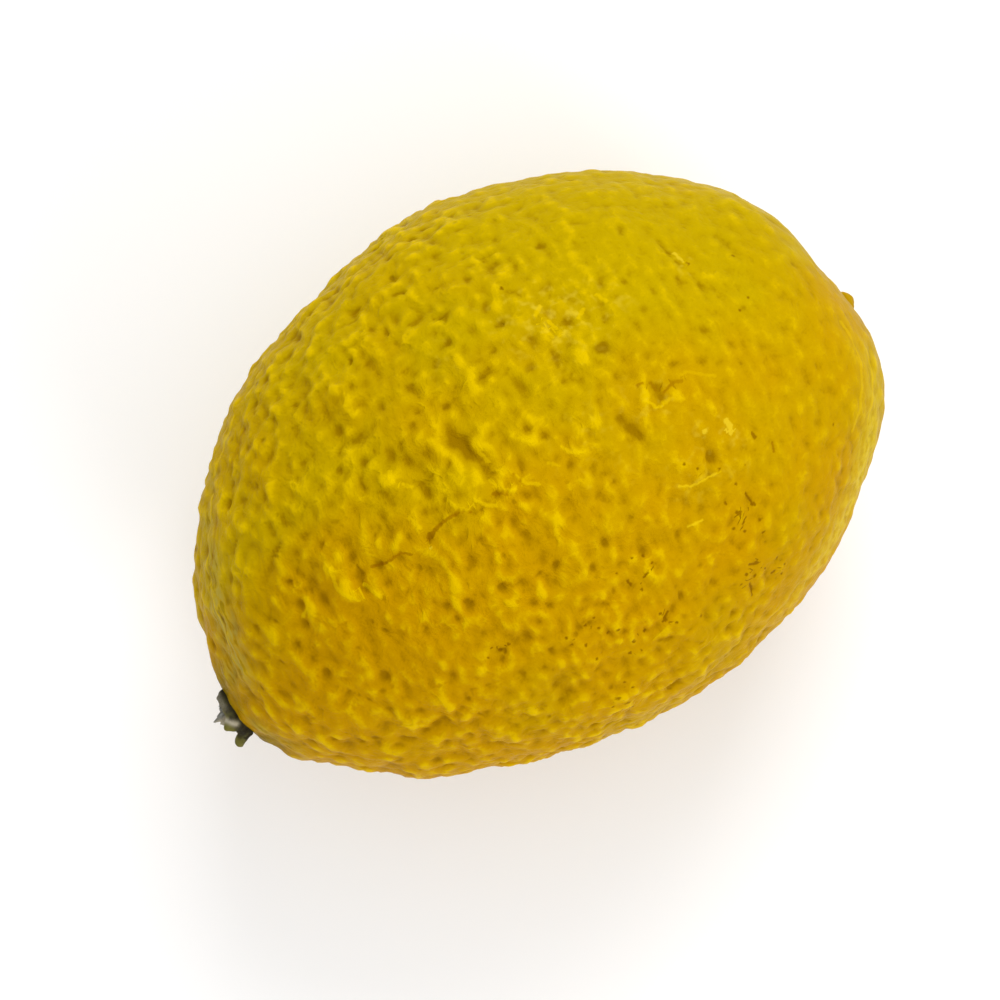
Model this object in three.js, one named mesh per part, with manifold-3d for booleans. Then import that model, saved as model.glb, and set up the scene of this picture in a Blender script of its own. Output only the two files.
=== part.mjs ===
// A whole lemon, lying on its side on a small flat spot.
//
// Frame: millimetres, +Z up. The origin is the middle of the flat spot. +X runs along the
// fruit to its blossom end, -X to its stem end, and +Y across it.
//
// Pieces: the fruit, with the dried nub of the style on its blossom end; the dried calyx of
// five sepals on its stem end; and the broken stub of stalk that stands in the calyx.

import * as THREE from 'three';
import { mergeVertices } from 'three/addons/utils/BufferGeometryUtils.js';
import loadManifold from 'manifold-3d';

const wasm = await loadManifold();
wasm.setup();

// ---------------------------------------------------------------- driving dimensions

// Distance from the core to the peel every 15 degrees round the level outline, counted from
// the blossom end by way of +Y.
const OUTLINE_RADII = [
  38.4, 37.9, 35.8, 33.5, 31.6, 30.7, 30.0, 30.0, 31.2, 32.9, 34.9, 37.6,
  40.3, 40.0, 36.1, 32.7, 30.5, 29.6, 29.4, 30.2, 31.2, 33.7, 36.6, 39.3,
];
const FLATTENING = 0.02; // share by which the fruit is lower than it is wide
const BELLY_SHIFT = -2.5; // carries the belly towards the stem end, so that the fruit balances
const CORE = new THREE.Vector3(0.4, -0.5, 28.9); // middle of the fruit
const FRUIT_DETAIL = 22; // the peel has 20 * (FRUIT_DETAIL + 1)^2 facets

// Relief of the peel: broad swells, lumps that are drawn out round the girth, and dimples.
const SWELLS = { count: 16, shortest: 14, longest: 26, stretch: 1, seed: 11 };
const LUMPS = { count: 48, shortest: 4.5, longest: 9.5, stretch: 1.4, seed: 29 };
const DIMPLES = { count: 420, narrowest: 0.7, widest: 1.3, shallowest: 0.06, deepest: 0.28, seed: 71 };
const SWELL_RISE = 0.2;
const LUMP_RISE = 0.13;
const SMOOTH_END_SHARE = 0.35; // share of the lumps and dimples that is left at the blossom end
const ROUGH_UNTIL_X = -4;
const SMOOTH_FROM_X = 24;
const SPOT_CALM_RADIUS = 11; // round the flat spot the peel is pressed smooth

// Single ridges and hollows on the upper side and its rim. Each runs between two plan points, counted in
// millimetres from the core, and fades over its width: x1, y1, x2, y2, width, rise.
const RIDGES_AND_HOLLOWS = [
  [-7, 9, -5.5, 2.5, 0.9, 0.45],
  [-1.5, 9.5, -2.5, 5, 0.8, 0.35],
  [-0.5, 14.5, 0, 10.5, 0.9, 0.3],
  [4, 10.5, 5, 8, 0.8, 0.3],
  [9, 12, 10.5, 7.5, 0.9, 0.25],
  [-12, 17.5, -12.5, 15, 0.8, 0.25],
  [-12.5, 8, -10.5, 6, 0.8, 0.25],
  [-22, 3, -22, -0.5, 1.0, 0.35],
  [-30.5, 8, -30, 6, 1.1, 0.35],
  [-29.5, 0.5, -29.5, -1, 1.0, 0.3],
  [-15, 1.5, -13.5, -1, 1.0, 0.3],
  [-10.5, 9, -10, 5.5, 0.9, -0.35],
  [-5, 7.5, -3.5, 3, 0.8, -0.35],
  [-22, 16, -21, 14, 0.9, -0.3],
  [-6, 21.5, -6, 21.5, 0.9, -0.3],
  [-1.5, 19.5, -1.5, 19.5, 0.8, -0.25],
  [5, 17, 5.5, 15, 0.9, -0.25],
  [8, 20.5, 8, 20.5, 0.8, -0.25],
  [13, 7, 13, 7, 0.8, -0.25],
  [1.5, 11, 1.5, 11, 0.7, -0.2],
  [-4, 0, -1.5, -2, 0.7, -0.2],
  [10.5, 0, 11.5, -3, 0.8, -0.25],
  [16.5, -8.5, 16.5, -8.5, 0.7, -0.2],
  [-20.5, 1, -20.5, -0.5, 0.7, -0.25],
  [-27.5, 1.5, -28, -0.5, 0.7, -0.25],
  [-24.5, -9.5, -24.5, -9.5, 0.8, -0.2],
  [-14.5, -6.5, -14.5, -8.5, 0.8, -0.2],
  [38.3, 4, 38.3, 4, 1.2, 0.4],
  [-38.1, 6.1, -38.1, 6.1, 1.2, -0.4],
  [-37, 9.2, -37, 9.2, 1.2, 0.4],
  [-19.8, -24.3, -19.8, -24.3, 1.8, -0.25],
  [-37.6, -12.2, -37.6, -12.2, 1.2, 0.3],
  [-26.7, -21.6, -26.7, -21.6, 1.8, 0.25],
  [-18.7, 25.6, -18.7, 25.6, 1.2, -0.25],
  [-31.1, 16.5, -31.1, 16.5, 1.2, -0.25],
  [-33.5, 14.3, -33.5, 14.3, 1.2, 0.25],
  [-14.8, -26.7, -14.8, -26.7, 1.2, 0.2],
];

// Stem end: the calyx sits in a shallow dip that five furrows run out of.
const SEAT = new THREE.Vector3(-40, -4.7, 0); // middle of the calyx, from the core
const SEAT_DIP = 0.5;
const SEAT_DIP_RADIUS = 2.6;
const FURROW_DEPTH = 0.3;
const FURROW_MIDDLE = 6.5;
const FURROW_WIDTH = 2.6;

// Blossom end: the nub of the style, a little off the axis.
const NUB_ANGLE = THREE.MathUtils.degToRad(-3.7);
const NUB_RADIUS = 1.15;
const NUB_STANDS_OUT = 0.85;
const NUB_DETAIL = 3;

// Calyx: radii and heights are counted from its axis and from the peel under it.
const SEPAL_TOPS = [2.4, 2.3, 1.35, 1.4, 1.7]; // from the -Y side by way of +Z
const SEPAL_REACHES = [0.85, 0.55, 0.6, 0.5, 0.55]; // how far each goes past the radius
const CALYX_RADIUS = 2.6; // between the sepals
const SEPAL_NARROWNESS = 2;
const CALYX_WALL_TOP = 1.45; // between the sepals
const CALYX_FOOT_SHIFT = -0.6; // the foot is off the calyx's axis, towards +Y
const CALYX_FLOOR = 0.7;
const CALYX_CUP_RADIUS = 1.85;
const CALYX_CUP_SHIFT = -0.35; // the cup is off the calyx's axis, towards +Y
const CALYX_ROOT = 1.6; // depth to which the uncut blank reaches into the fruit
const CALYX_SEGMENTS = 60;

// Stub of stalk, snapped off in long and short splinters.
const STUB_RADIUS = 1.4;
const STUB_SHIFT = -0.5; // off the calyx's axis, towards +Y
const SPLINTER_TOPS = [1.8, 2.0, 2.4, 3.0, 1.8, 1.65, 1.6, 1.5, 1.7, 1.9, 1.6, 1.8];
const STUB_HOLLOW_TOP = 1.5;

const CLEARANCE = 0.3; // between one piece and the next

// ---------------------------------------------------------------- form of the fruit

// Smooth closed curve through the outline's radii (trigonometric interpolation).
function outlineRadius(angle) {
  const count = OUTLINE_RADII.length;
  let radius = 0;
  for (let k = 0; k < count; k += 1) {
    const offset = angle - (2 * Math.PI * k) / count;
    const slope = count * Math.tan(offset / 2);
    const weight = Math.abs(slope) < 1e-9 ? 1 : Math.sin((count * offset) / 2) / slope;
    radius += OUTLINE_RADII[k] * weight;
  }
  return radius;
}

// The two sides of the outline pass smoothly into each other over the top and the bottom.
function formRadius(direction) {
  const across = Math.hypot(direction.y, direction.z);
  const angle = Math.atan2(across, direction.x);
  const left = outlineRadius(angle);
  const right = outlineRadius(-angle);
  const side = across > 0 ? direction.y / across : 0;
  const steepness = direction.z ** 2;
  const middle = ((left + right) / 2) * (1 - FLATTENING * steepness);
  return middle + ((left - right) / 2) * side + BELLY_SHIFT * direction.x * steepness;
}

// Point of the upper side that lies over a plan point, by bisection of its elevation.
function upperPoint(x, y) {
  const azimuth = Math.atan2(y, x);
  const reach = Math.hypot(x, y);
  const direction = new THREE.Vector3();
  let low = 0;
  let high = Math.PI / 2;
  for (let step = 0; step < 30; step += 1) {
    const elevation = (low + high) / 2;
    direction.set(
      Math.cos(elevation) * Math.cos(azimuth),
      Math.cos(elevation) * Math.sin(azimuth),
      Math.sin(elevation),
    );
    if (formRadius(direction) * Math.cos(elevation) > reach) {
      low = elevation;
    } else {
      high = elevation;
    }
  }
  return direction.multiplyScalar(formRadius(direction));
}

// ---------------------------------------------------------------- relief of the peel

const GOLDEN_ANGLE = Math.PI * (3 - Math.sqrt(5));

// Lehmer's generator: the same draws on every run.
function randomDraws(seed) {
  let state = seed;
  return () => {
    state = (state * 16807) % 2147483647;
    return state / 2147483647;
  };
}

function planeWaves({ count, shortest, longest, stretch, seed }) {
  const draw = randomDraws(seed);
  return Array.from({ length: count }, () => {
    const along = 2 * draw() - 1;
    const turn = 2 * Math.PI * draw();
    const across = Math.sqrt(1 - along * along);
    const wavelength = shortest + (longest - shortest) * draw();
    const wave = new THREE.Vector3(
      along * stretch,
      (across * Math.cos(turn)) / Math.sqrt(stretch),
      (across * Math.sin(turn)) / Math.sqrt(stretch),
    );
    return { wave: wave.multiplyScalar((2 * Math.PI) / wavelength), phase: 2 * Math.PI * draw() };
  });
}

// Sum of the waves at a point, with a mean square of one.
function waveHeight(waves, point) {
  const sum = waves.reduce((total, { wave, phase }) => total + Math.cos(wave.dot(point) + phase), 0);
  return sum * Math.sqrt(2 / waves.length);
}

// One dimple near each point of a golden spiral over the peel.
function strewDimples({ count, narrowest, widest, shallowest, deepest, seed }) {
  const draw = randomDraws(seed);
  return Array.from({ length: count }, (_, k) => {
    const along = 1 - (2 * (k + draw())) / count;
    const turn = GOLDEN_ANGLE * k + draw();
    const across = Math.sqrt(1 - along * along);
    const direction = new THREE.Vector3(along, across * Math.cos(turn), across * Math.sin(turn));
    return {
      middle: direction.multiplyScalar(formRadius(direction)),
      width: THREE.MathUtils.lerp(narrowest, widest, draw()),
      depth: THREE.MathUtils.lerp(shallowest, deepest, draw()),
    };
  });
}

const swellWaves = planeWaves(SWELLS);
const lumpWaves = planeWaves(LUMPS);
const dimples = strewDimples(DIMPLES);
const marks = RIDGES_AND_HOLLOWS.map(([x1, y1, x2, y2, width, rise]) => ({
  line: new THREE.Line3(upperPoint(x1, y1), upperPoint(x2, y2)),
  width,
  rise,
}));
const spotMiddle = new THREE.Vector3(0, 0, 0).sub(CORE);
const nearestOnLine = new THREE.Vector3();

function fade(distance, width) {
  return Math.exp(-((distance / width) ** 2) / 2);
}

function seatRelief(point) {
  const y = point.y - SEAT.y;
  const z = point.z - SEAT.z;
  const fromAxis = point.x < 0 ? Math.hypot(y, z) : Infinity;
  const furrows = Math.cos(SEPAL_TOPS.length * Math.atan2(z, -y)) - 1;
  const furrowShare = (FURROW_DEPTH / 2) * fade(fromAxis - FURROW_MIDDLE, FURROW_WIDTH);
  return furrows * furrowShare - SEAT_DIP * fade(fromAxis, SEAT_DIP_RADIUS);
}

// Height of the peel over the plain form. The point is counted from the core.
function relief(point) {
  const smooth = THREE.MathUtils.smoothstep(point.x, ROUGH_UNTIL_X, SMOOTH_FROM_X);
  let rough = LUMP_RISE * waveHeight(lumpWaves, point);
  for (const { middle, width, depth } of dimples) {
    rough -= depth * fade(middle.distanceTo(point), width);
  }
  rough *= THREE.MathUtils.lerp(1, SMOOTH_END_SHARE, smooth);
  const calm = 1 - fade(point.distanceTo(spotMiddle), SPOT_CALM_RADIUS);
  let height = (SWELL_RISE * waveHeight(swellWaves, point) + rough) * calm;
  for (const { line, width, rise } of marks) {
    line.closestPointToPoint(point, true, nearestOnLine);
    height += rise * fade(nearestOnLine.distanceTo(point), width);
  }
  return height + seatRelief(point);
}

// ---------------------------------------------------------------- solids

// Leaves only the corners, each of them once, and the triangles between them.
function weld(geometry) {
  geometry.deleteAttribute('normal');
  geometry.deleteAttribute('uv');
  return mergeVertices(geometry);
}

function toSolid(geometry) {
  return new wasm.Manifold(new wasm.Mesh({
    numProp: 3,
    vertProperties: Float32Array.from(geometry.attributes.position.array),
    triVerts: Uint32Array.from(geometry.index.array),
  }));
}

function toGeometry(solid) {
  const { vertProperties, triVerts } = solid.getMesh();
  const geometry = new THREE.BufferGeometry();
  geometry.setAttribute('position', new THREE.BufferAttribute(vertProperties, 3));
  geometry.setIndex(new THREE.BufferAttribute(triVerts, 1));
  geometry.computeVertexNormals();
  return geometry;
}

// Skin of the fruit, a given distance outside its peel, about the core.
function peelGeometry(outside) {
  const geometry = weld(new THREE.IcosahedronGeometry(1, FRUIT_DETAIL));
  const corners = geometry.attributes.position;
  const direction = new THREE.Vector3();
  const point = new THREE.Vector3();
  for (let i = 0; i < corners.count; i += 1) {
    direction.fromBufferAttribute(corners, i).normalize();
    point.copy(direction).multiplyScalar(formRadius(direction));
    let radius = point.length() + relief(point) + outside;
    if (direction.z < 0) {
      radius = Math.min(radius, (CORE.z + outside) / -direction.z); // the flat spot
    }
    point.copy(direction).multiplyScalar(radius);
    corners.setXYZ(i, point.x, point.y, point.z);
  }
  return geometry;
}

function nubGeometry() {
  const direction = new THREE.Vector3(Math.cos(NUB_ANGLE), Math.sin(NUB_ANGLE), 0);
  const point = direction.clone().multiplyScalar(formRadius(direction));
  const middle = direction.multiplyScalar(point.length() + relief(point) + NUB_STANDS_OUT - NUB_RADIUS);
  return weld(new THREE.IcosahedronGeometry(NUB_RADIUS, NUB_DETAIL)).translate(middle.x, middle.y, middle.z);
}

// Closed skin over rings that are stacked about the Z axis. A ring gives the radius and the
// height at each turn, and may be shifted along X. The first and last ring close on their middle.
function stackedRings(rings, segments) {
  const corners = [];
  const triangles = [];
  rings.forEach((ring) => {
    for (let k = 0; k < segments; k += 1) {
      const turn = (2 * Math.PI * k) / segments;
      const [radius, height, shift = 0] = ring(turn, k);
      corners.push(shift + radius * Math.cos(turn), radius * Math.sin(turn), height);
    }
  });
  for (let i = 0; i + 1 < rings.length; i += 1) {
    for (let k = 0; k < segments; k += 1) {
      const next = (k + 1) % segments;
      const [a, b] = [i * segments + k, i * segments + next];
      const [c, d] = [a + segments, b + segments];
      triangles.push(a, b, d, a, d, c);
    }
  }
  const geometry = new THREE.BufferGeometry();
  geometry.setAttribute('position', new THREE.Float32BufferAttribute(corners, 3));
  geometry.setIndex(triangles);
  return mergeVertices(geometry);
}

// ---------------------------------------------------------------- pieces

function makeFruit() {
  const solid = toSolid(peelGeometry(0)).add(toSolid(nubGeometry()));
  const peel = new THREE.MeshStandardMaterial({ color: 0xc89e03, roughness: 0.45, metalness: 0 });
  const fruit = new THREE.Mesh(toGeometry(solid), peel);
  fruit.name = 'fruit';
  return fruit;
}

function sepalShare(turn) {
  return ((1 + Math.cos(SEPAL_TOPS.length * turn)) / 2) ** SEPAL_NARROWNESS;
}

function nearestSepal(turn) {
  return Math.round((SEPAL_TOPS.length * turn) / (2 * Math.PI)) % SEPAL_TOPS.length;
}

function sepalTop(turn) {
  return THREE.MathUtils.lerp(CALYX_WALL_TOP, SEPAL_TOPS[nearestSepal(turn)], sepalShare(turn));
}

function calyxRadius(turn) {
  return CALYX_RADIUS + SEPAL_REACHES[nearestSepal(turn)] * sepalShare(turn);
}

function makeCalyx(stemEnd) {
  const lip = (CALYX_RADIUS - CALYX_CUP_RADIUS) / 2;
  const blank = stackedRings([
    () => [0, -CALYX_ROOT, CALYX_FOOT_SHIFT],
    (turn) => [calyxRadius(turn) - lip, -CALYX_ROOT, CALYX_FOOT_SHIFT],
    (turn) => [calyxRadius(turn), 0, CALYX_FOOT_SHIFT],
    (turn) => [calyxRadius(turn), sepalTop(turn) - lip],
    (turn) => [calyxRadius(turn) - lip, sepalTop(turn)],
    (turn) => [
      (CALYX_CUP_RADIUS + calyxRadius(turn) - lip) / 2,
      sepalTop(turn) - lip / 2,
      CALYX_CUP_SHIFT / 2,
    ],
    () => [CALYX_CUP_RADIUS, CALYX_FLOOR, CALYX_CUP_SHIFT],
    () => [0, CALYX_FLOOR, CALYX_CUP_SHIFT],
  ], CALYX_SEGMENTS);
  const fromFruit = new THREE.Matrix4().compose(stemEnd.position, stemEnd.quaternion, stemEnd.scale);
  const grownFruit = peelGeometry(CLEARANCE).applyMatrix4(fromFruit.invert());
  const solid = toSolid(blank).subtract(toSolid(grownFruit));
  const driedSepal = new THREE.MeshStandardMaterial({ color: 0x4c4420, roughness: 0.9, metalness: 0 });
  const calyx = new THREE.Mesh(toGeometry(solid), driedSepal);
  calyx.name = 'calyx';
  return calyx;
}

function makeStub() {
  const foot = CALYX_FLOOR + CLEARANCE;
  const geometry = stackedRings([
    () => [0, foot, STUB_SHIFT],
    () => [STUB_RADIUS, foot, STUB_SHIFT],
    (turn, k) => [STUB_RADIUS, SPLINTER_TOPS[k], STUB_SHIFT],
    () => [STUB_RADIUS / 2, STUB_HOLLOW_TOP, STUB_SHIFT],
    () => [0, STUB_HOLLOW_TOP, STUB_SHIFT],
  ], SPLINTER_TOPS.length);
  const wood = new THREE.MeshStandardMaterial({ color: 0x9a9482, roughness: 0.9, metalness: 0 });
  const stub = new THREE.Mesh(toGeometry(toSolid(geometry)), wood);
  stub.name = 'pedicel_stub';
  return stub;
}

// ---------------------------------------------------------------- the lemon

// The stem end's own frame: its Z axis points away from the fruit, along -X.
const stemEnd = new THREE.Group();
stemEnd.position.copy(SEAT);
stemEnd.quaternion.setFromRotationMatrix(new THREE.Matrix4().makeBasis(
  new THREE.Vector3(0, -1, 0),
  new THREE.Vector3(0, 0, 1),
  new THREE.Vector3(-1, 0, 0),
));
stemEnd.add(makeCalyx(stemEnd), makeStub());

const lemon = new THREE.Group();
lemon.position.copy(CORE);
lemon.add(makeFruit(), stemEnd);

export default lemon;
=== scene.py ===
"""Looks of a whole lemon that lies on its side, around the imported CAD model.

The form of the fruit follows the same formula and the same named values as the CAD model, on a
finer mesh, with the small relief of the peel added: crinkle, small pits and small folds.
Lengths are in millimetres until a mesh is made, and in metres in Blender.
"""

import math

import bpy
import numpy as np
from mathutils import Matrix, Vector, kdtree


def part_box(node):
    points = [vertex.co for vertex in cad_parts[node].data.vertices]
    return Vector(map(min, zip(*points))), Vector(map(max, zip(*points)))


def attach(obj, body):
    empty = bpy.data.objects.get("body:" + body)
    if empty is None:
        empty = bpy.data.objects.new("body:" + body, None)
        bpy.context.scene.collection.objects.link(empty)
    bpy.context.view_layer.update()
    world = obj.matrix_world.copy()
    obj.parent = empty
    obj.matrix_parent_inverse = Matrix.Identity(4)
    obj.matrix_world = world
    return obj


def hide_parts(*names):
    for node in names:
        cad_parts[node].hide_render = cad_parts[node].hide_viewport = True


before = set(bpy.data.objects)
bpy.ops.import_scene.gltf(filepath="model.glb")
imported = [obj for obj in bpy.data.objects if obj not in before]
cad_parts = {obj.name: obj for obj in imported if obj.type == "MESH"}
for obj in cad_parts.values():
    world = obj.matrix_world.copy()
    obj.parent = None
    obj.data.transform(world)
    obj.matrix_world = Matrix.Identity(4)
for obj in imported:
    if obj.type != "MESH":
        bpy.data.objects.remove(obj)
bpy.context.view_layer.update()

MM = 0.001

# ---- form, as in the CAD model

# Every 15 degrees round the core from +X. A program fitted these 24 to the photograph's outline.
OUTLINE_RADII = [
    38.4, 37.9, 35.8, 33.5, 31.6, 30.7, 30.0, 30.0, 31.2, 32.9, 34.9, 37.6,
    40.3, 40.0, 36.1, 32.7, 30.5, 29.6, 29.4, 30.2, 31.2, 33.7, 36.6, 39.3,
]
FLATTENING = 0.02
BELLY_SHIFT = -2.5
CORE = np.array([0.4, -0.5, 28.9])
SWELLS = {"count": 16, "shortest": 14, "longest": 26, "stretch": 1, "seed": 11}
LUMPS = {"count": 48, "shortest": 4.5, "longest": 9.5, "stretch": 1.4, "seed": 29}
DIMPLES = {
    "count": 420, "narrowest": 0.7, "widest": 1.3, "shallowest": 0.06, "deepest": 0.28, "seed": 71,
}
SWELL_RISE = 0.2
LUMP_RISE = 0.13
SMOOTH_END_SHARE = 0.35
ROUGH_UNTIL_X = -4
SMOOTH_FROM_X = 24
SPOT_CALM_RADIUS = 11

# Ridges and hollows of the upper side: x and y of both ends, or of the middle of a round one,
# from the core, then width and rise. The last ten, at the edge, came out of the same fit. The
# others were listed in pixels, and a program turned their places into millimetres.
RIDGES_AND_HOLLOWS = [
    (-7, 9, -5.5, 2.5, 0.9, 0.45), (-1.5, 9.5, -2.5, 5, 0.8, 0.35), (-0.5, 14.5, 0, 10.5, 0.9, 0.3),
    (4, 10.5, 5, 8, 0.8, 0.3), (9, 12, 10.5, 7.5, 0.9, 0.25), (-12, 17.5, -12.5, 15, 0.8, 0.25),
    (-12.5, 8, -10.5, 6, 0.8, 0.25), (-22, 3, -22, -0.5, 1, 0.35), (-30.5, 8, -30, 6, 1.1, 0.35),
    (-29.5, 0.5, -29.5, -1, 1, 0.3), (-15, 1.5, -13.5, -1, 1, 0.3), (-10.5, 9, -10, 5.5, 0.9, -0.35),
    (-5, 7.5, -3.5, 3, 0.8, -0.35), (-22, 16, -21, 14, 0.9, -0.3), (-6, 21.5, 0.9, -0.3),
    (-1.5, 19.5, 0.8, -0.25), (5, 17, 5.5, 15, 0.9, -0.25), (8, 20.5, 0.8, -0.25), (13, 7, 0.8, -0.25),
    (1.5, 11, 0.7, -0.2), (-4, 0, -1.5, -2, 0.7, -0.2), (10.5, 0, 11.5, -3, 0.8, -0.25),
    (16.5, -8.5, 0.7, -0.2), (-20.5, 1, -20.5, -0.5, 0.7, -0.25), (-27.5, 1.5, -28, -0.5, 0.7, -0.25),
    (-24.5, -9.5, 0.8, -0.2), (-14.5, -6.5, -14.5, -8.5, 0.8, -0.2), (38.3, 4, 1.2, 0.4),
    (-38.1, 6.1, 1.2, -0.4), (-37, 9.2, 1.2, 0.4), (-19.8, -24.3, 1.8, -0.25), (-37.6, -12.2, 1.2, 0.3),
    (-26.7, -21.6, 1.8, 0.25), (-18.7, 25.6, 1.2, -0.25), (-31.1, 16.5, 1.2, -0.25),
    (-33.5, 14.3, 1.2, 0.25), (-14.8, -26.7, 1.2, 0.2),
]

SEAT = np.array([-40.0, -4.7, 0.0])  # where the calyx sits, from the core
SEAT_DIP = 0.5
SEAT_DIP_RADIUS = 2.6
FURROW_DEPTH = 0.3
FURROW_MIDDLE = 6.5
FURROW_WIDTH = 2.6

NUB_ANGLE = math.radians(-3.7)
NUB_RADIUS = 1.15
NUB_STANDS_OUT = 0.85
NUB_CELLS = 8
NUB_ROUGHNESS = 0.1
NUB_BUMPS = {"count": 12, "shortest": 0.8, "longest": 2, "stretch": 1, "seed": 5}

CALYX_RADIUS = 2.6
CALYX_ROOT = 0.6
CALYX_WALL_TOP = 1.45
CALYX_FOOT_SHIFT = -0.6
CALYX_FLOOR = 0.7
CALYX_CUP_RADIUS = 1.85
CALYX_CUP_SHIFT = -0.35
CALYX_TURNS = 160
CUP_EDGE = 0.3  # the grey of the cup starts this far outside it
CALYX_WRINKLES = {"count": 40, "shortest": 0.5, "longest": 1.6, "stretch": 0.7, "seed": 17}
CALYX_WRINKLE_RISE = 0.06
SEPAL_TOPS = [2.4, 2.3, 1.35, 1.4, 1.7]
SEPAL_REACHES = [0.85, 0.55, 0.6, 0.5, 0.55]
SEPAL_NARROWNESS = 2
FIBRE_STRIP = np.array([(-0.3, 0, 1.85), (0.95, 0, 0.9)])  # torn wood that lies over the sepals
FIBRE_STRIP_WIDTH = 0.2
FIBRE_STRIP_SIDE = (0.3, 1.2)  # it starts between these places across the stem end

STUB_RADIUS = 1.4
STUB_SHIFT = -0.5
STUB_HOLLOW_TOP = 1.5
STUB_ROOT = 0.1
STUB_TURNS = 96
STUB_HOLLOW_ROUGHNESS = 0.1
SPLINTER_TIP = (0.08, 0.1)  # its width and height
SPLINTER_THICKNESS = 0.25
SPLINTER_TOPS = [1.8, 2.0, 2.4, 3.0, 1.8, 1.65, 1.6, 1.5, 1.7, 1.9, 1.6, 1.8]
FIBRES = {"count": 30, "shortest": 0.2, "longest": 0.8, "stretch": 1, "seed": 23}
FIBRE_DEPTH = 0.07
JAGS = {"count": 30, "shortest": 0.15, "longest": 0.6, "stretch": 1, "seed": 37}
FIBRE_JAG = 0.3
TORN_TURN = math.radians(65)
TORN_WIDTH = 0.3
TORN_SHARE = 0.35

CAP_RADIUS = 0.02  # hole left in the middle of a ringed skin, closed by one small face
FOLD_BACK = 0.05  # of how far a point was past the box of its node

# ---- fine relief, scene only

PEEL_CELLS = 128  # the peel has 12 * PEEL_CELLS^2 triangles
CRINKLE = {"count": 84, "shortest": 1.5, "longest": 3.4, "stretch": 1.3, "seed": 53}
CRINKLE_RISE = 0.08
PITS = {
    "count": 2200, "narrowest": 0.3, "widest": 0.55, "shallowest": 0.04, "deepest": 0.28, "seed": 97,
}
PIT_DRIFT = {"count": 40, "shortest": 0.9, "longest": 2.6, "stretch": 1}
PIT_DRIFT_SEEDS = (61, 67, 71)  # one for each axis that the pits are drawn out of round along
PIT_DRIFT_REACH = 0.2
FINE_SMOOTH_END_SHARE = 0.6  # share of the pits and the crinkle that is left at the blossom end
RELIEF_REACH = 7  # rounds of smoothing between the peel and the skin its relief is told from

FINE_MARK_GAIN = 1.6  # every rise of the next list is taken this many times
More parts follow.
